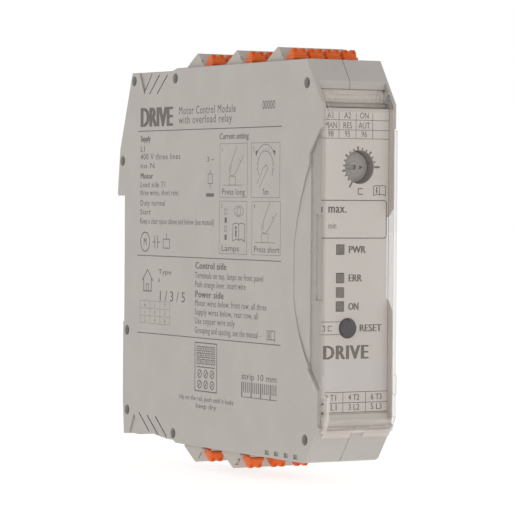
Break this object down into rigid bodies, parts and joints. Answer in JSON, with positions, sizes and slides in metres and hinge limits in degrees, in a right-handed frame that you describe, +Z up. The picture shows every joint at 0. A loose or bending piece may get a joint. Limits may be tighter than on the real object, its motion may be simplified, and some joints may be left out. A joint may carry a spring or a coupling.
{
  "type": "electronic motor starter",
  "caption": "Slim rail-mounted motor starter with overload protection, stepped push-in terminals with release levers, setting dial, reset button and hinged clear cover.",
  "frame": {"origin": "centre of the seat that rests on the front of the top-hat rail", "axes": "+X to the right as seen from the front, +Y towards the rail and the panel behind it, +Z up"},
  "size_m": [0.0226, 0.1145, 0.1122],
  "materials": {
    "housing_plastic": "fine spark-eroded moulded grain, warm light grey",
    "terminal_plastic": "moulded light grey",
    "panel_plastic": "smooth printed panel, pale warm grey",
    "clear_plastic": "clear polished polycarbonate",
    "dial_plastic": "satin mid grey",
    "button_plastic": "satin dark blue grey",
    "lamp_plastic": "smoked light pipe",
    "lever_plastic": "satin orange",
    "copper": "tin-plated copper alloy spring clamp",
    "board_laminate": "green solder mask",
    "component_black": "moulded component body",
    "aluminium": "extruded, clear anodised"
  },
  "bodies": {
    "housing": {"left_shell": "housing_plastic", "right_shell": "housing_plastic", "top_terminal_front": "terminal_plastic", "top_terminal_middle": "terminal_plastic", "top_terminal_rear": "terminal_plastic", "bottom_terminal_front": "terminal_plastic", "bottom_terminal_rear": "terminal_plastic", "front_panel": "panel_plastic", "light_pipe_1": "lamp_plastic", "light_pipe_2": "lamp_plastic", "light_pipe_3": "lamp_plastic", "light_pipe_4": "lamp_plastic", "power_clamp_front_1": "copper", "power_clamp_front_2": "copper", "power_clamp_front_3": "copper", "power_clamp_rear_1": "copper", "power_clamp_rear_2": "copper", "power_clamp_rear_3": "copper", "main_board": "board_laminate", "control_board": "board_laminate", "pin_header_1": "component_black", "pin_header_2": "component_black", "pin_header_3": "component_black", "board_connector": "component_black", "relay_1": "component_black", "relay_2": "component_black", "relay_3": "component_black", "transistor_module_1": "component_black", "transistor_module_2": "component_black", "reset_switch": "component_black", "potentiometer": "component_black", "current_sensor_1": "component_black", "current_sensor_2": "component_black", "supply_transformer": "component_black", "capacitor_1": "component_black", "capacitor_2": "component_black", "heat_sink": "aluminium"},
    "cover": {"front_cover": "clear_plastic"},
    "dial": {"setting_dial": "dial_plastic"},
    "reset": {"reset_button": "button_plastic"},
    "foot": {"din_foot": "housing_plastic"},
    "top_lever_front_1_body": {"top_lever_front_1": "lever_plastic"},
    "top_lever_front_2_body": {"top_lever_front_2": "lever_plastic"},
    "top_lever_front_3_body": {"top_lever_front_3": "lever_plastic"},
    "top_lever_front_4_body": {"top_lever_front_4": "lever_plastic"},
    "top_lever_middle_1_body": {"top_lever_middle_1": "lever_plastic"},
    "top_lever_middle_2_body": {"top_lever_middle_2": "lever_plastic"},
    "top_lever_middle_3_body": {"top_lever_middle_3": "lever_plastic"},
    "top_lever_middle_4_body": {"top_lever_middle_4": "lever_plastic"},
    "top_lever_rear_1_body": {"top_lever_rear_1": "lever_plastic"},
    "top_lever_rear_2_body": {"top_lever_rear_2": "lever_plastic"},
    "top_lever_rear_3_body": {"top_lever_rear_3": "lever_plastic"},
    "top_lever_rear_4_body": {"top_lever_rear_4": "lever_plastic"},
    "bottom_lever_front_1_body": {"bottom_lever_front_1": "lever_plastic"},
    "bottom_lever_front_2_body": {"bottom_lever_front_2": "lever_plastic"},
    "bottom_lever_front_3_body": {"bottom_lever_front_3": "lever_plastic"},
    "bottom_lever_rear_1_body": {"bottom_lever_rear_1": "lever_plastic"},
    "bottom_lever_rear_2_body": {"bottom_lever_rear_2": "lever_plastic"},
    "bottom_lever_rear_3_body": {"bottom_lever_rear_3": "lever_plastic"}
  },
  "joints": [
    {"name": "cover_hinge", "type": "hinge", "parent": "housing", "child": "cover", "pos_m": [0, -0.1067, 0.0435], "axis": [-1, 0, 0], "range_deg": [0, 105]},
    {"name": "dial_turn", "type": "hinge", "parent": "housing", "child": "dial", "pos_m": [0.0012, -0.1046, 0.0257], "axis": [0, 1, 0], "range_deg": [-240, 0]},
    {"name": "reset_press", "type": "slide", "parent": "housing", "child": "reset", "axis": [0, 1, 0], "range_m": [0, 0.001], "stiffness_N_per_m": 900, "springref_m": -0.001},
    {"name": "foot_slide", "type": "slide", "parent": "housing", "child": "foot", "axis": [0, 0, -1], "range_m": [0, 0.003], "stiffness_N_per_m": 2500, "springref_m": -0.002},
    {"name": "top_lever_front_1_press", "type": "slide", "parent": "housing", "child": "top_lever_front_1_body", "axis": [0, 0, -1], "range_m": [0, 0.0014], "stiffness_N_per_m": 1500, "springref_m": -0.001},
    {"name": "top_lever_front_2_press", "type": "slide", "parent": "housing", "child": "top_lever_front_2_body", "axis": [0, 0, -1], "range_m": [0, 0.0014], "stiffness_N_per_m": 1500, "springref_m": -0.001},
    {"name": "top_lever_front_3_press", "type": "slide", "parent": "housing", "child": "top_lever_front_3_body", "axis": [0, 0, -1], "range_m": [0, 0.0014], "stiffness_N_per_m": 1500, "springref_m": -0.001},
    {"name": "top_lever_front_4_press", "type": "slide", "parent": "housing", "child": "top_lever_front_4_body", "axis": [0, 0, -1], "range_m": [0, 0.0014], "stiffness_N_per_m": 1500, "springref_m": -0.001},
    {"name": "top_lever_middle_1_press", "type": "slide", "parent": "housing", "child": "top_lever_middle_1_body", "axis": [0, 0, -1], "range_m": [0, 0.0014], "stiffness_N_per_m": 1500, "springref_m": -0.001},
    {"name": "top_lever_middle_2_press", "type": "slide", "parent": "housing", "child": "top_lever_middle_2_body", "axis": [0, 0, -1], "range_m": [0, 0.0014], "stiffness_N_per_m": 1500, "springref_m": -0.001},
    {"name": "top_lever_middle_3_press", "type": "slide", "parent": "housing", "child": "top_lever_middle_3_body", "axis": [0, 0, -1], "range_m": [0, 0.0014], "stiffness_N_per_m": 1500, "springref_m": -0.001},
    {"name": "top_lever_middle_4_press", "type": "slide", "parent": "housing", "child": "top_lever_middle_4_body", "axis": [0, 0, -1], "range_m": [0, 0.0014], "stiffness_N_per_m": 1500, "springref_m": -0.001},
    {"name": "top_lever_rear_1_press", "type": "slide", "parent": "housing", "child": "top_lever_rear_1_body", "axis": [0, 0, -1], "range_m": [0, 0.0014], "stiffness_N_per_m": 1500, "springref_m": -0.001},
    {"name": "top_lever_rear_2_press", "type": "slide", "parent": "housing", "child": "top_lever_rear_2_body", "axis": [0, 0, -1], "range_m": [0, 0.0014], "stiffness_N_per_m": 1500, "springref_m": -0.001},
    {"name": "top_lever_rear_3_press", "type": "slide", "parent": "housing", "child": "top_lever_rear_3_body", "axis": [0, 0, -1], "range_m": [0, 0.0014], "stiffness_N_per_m": 1500, "springref_m": -0.001},
    {"name": "top_lever_rear_4_press", "type": "slide", "parent": "housing", "child": "top_lever_rear_4_body", "axis": [0, 0, -1], "range_m": [0, 0.0014], "stiffness_N_per_m": 1500, "springref_m": -0.001},
    {"name": "bottom_lever_front_1_press", "type": "slide", "parent": "housing", "child": "bottom_lever_front_1_body", "axis": [0, 0, 1], "range_m": [0, 0.0014], "stiffness_N_per_m": 1500, "springref_m": -0.001},
    {"name": "bottom_lever_front_2_press", "type": "slide", "parent": "housing", "child": "bottom_lever_front_2_body", "axis": [0, 0, 1], "range_m": [0, 0.0014], "stiffness_N_per_m": 1500, "springref_m": -0.001},
    {"name": "bottom_lever_front_3_press", "type": "slide", "parent": "housing", "child": "bottom_lever_front_3_body", "axis": [0, 0, 1], "range_m": [0, 0.0014], "stiffness_N_per_m": 1500, "springref_m": -0.001},
    {"name": "bottom_lever_rear_1_press", "type": "slide", "parent": "housing", "child": "bottom_lever_rear_1_body", "axis": [0, 0, 1], "range_m": [0, 0.0014], "stiffness_N_per_m": 1500, "springref_m": -0.001},
    {"name": "bottom_lever_rear_2_press", "type": "slide", "parent": "housing", "child": "bottom_lever_rear_2_body", "axis": [0, 0, 1], "range_m": [0, 0.0014], "stiffness_N_per_m": 1500, "springref_m": -0.001},
    {"name": "bottom_lever_rear_3_press", "type": "slide", "parent": "housing", "child": "bottom_lever_rear_3_body", "axis": [0, 0, 1], "range_m": [0, 0.0014], "stiffness_N_per_m": 1500, "springref_m": -0.001}
  ]
}
